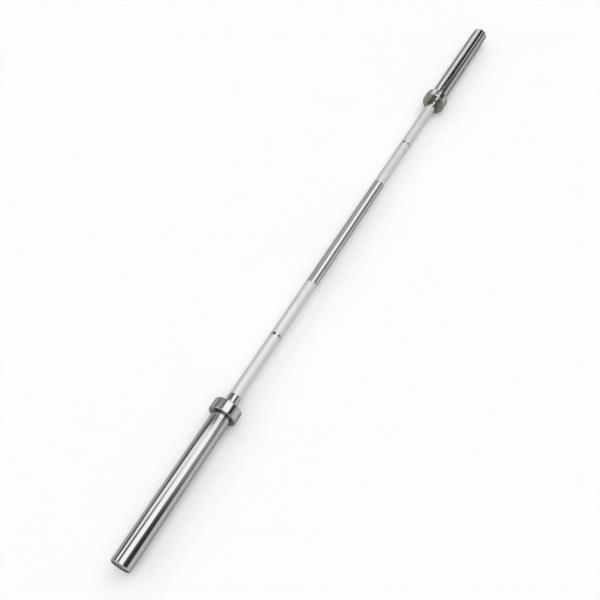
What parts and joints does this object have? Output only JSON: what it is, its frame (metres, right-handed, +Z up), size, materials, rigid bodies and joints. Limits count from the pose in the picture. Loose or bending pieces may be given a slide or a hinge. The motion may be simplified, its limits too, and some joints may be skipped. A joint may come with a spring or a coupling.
{
  "type": "olympic barbell",
  "caption": "Long straight steel bar with a knurled grip shaft and a plain round plate sleeve turning freely on each end behind a thick stop collar.",
  "frame": {"origin": "centre of the bar, on its axis", "axes": "+X along the bar towards the right end, +Z up, +Y to the back"},
  "size_m": [2.2, 0.075, 0.075],
  "materials": {
    "shaft_chrome": "hard chrome over a ground and diamond-knurled steel bar",
    "sleeve_chrome": "polished chrome plate with fine lengthwise handling marks",
    "cap_chrome": "turned and chromed plug, blank",
    "bronze": "machined bearing bronze, oiled and browned",
    "washer_steel": "ground steel",
    "spring_steel": "rolled spring steel, bright and lightly oiled"
  },
  "bodies": {
    "shaft": {"bar_shaft": "shaft_chrome", "left_inner_thrust_washer": "bronze", "left_outer_thrust_washer": "bronze", "left_backing_washer": "washer_steel", "left_retaining_ring": "spring_steel", "right_inner_thrust_washer": "bronze", "right_outer_thrust_washer": "bronze", "right_backing_washer": "washer_steel", "right_retaining_ring": "spring_steel"},
    "left_sleeve": {"left_sleeve_tube": "sleeve_chrome", "left_stop_collar": "sleeve_chrome", "left_inner_bush": "bronze", "left_outer_bush": "bronze", "left_end_cap": "cap_chrome", "left_end_cap_ring": "spring_steel"},
    "right_sleeve": {"right_sleeve_tube": "sleeve_chrome", "right_stop_collar": "sleeve_chrome", "right_inner_bush": "bronze", "right_outer_bush": "bronze", "right_end_cap": "cap_chrome", "right_end_cap_ring": "spring_steel"}
  },
  "joints": [
    {"name": "left_sleeve_spin", "type": "hinge", "parent": "shaft", "child": "left_sleeve", "pos_m": [-0.88, 0, 0], "axis": [1, 0, 0], "continuous": true},
    {"name": "right_sleeve_spin", "type": "hinge", "parent": "shaft", "child": "right_sleeve", "pos_m": [0.88, 0, 0], "axis": [1, 0, 0], "continuous": true}
  ]
}
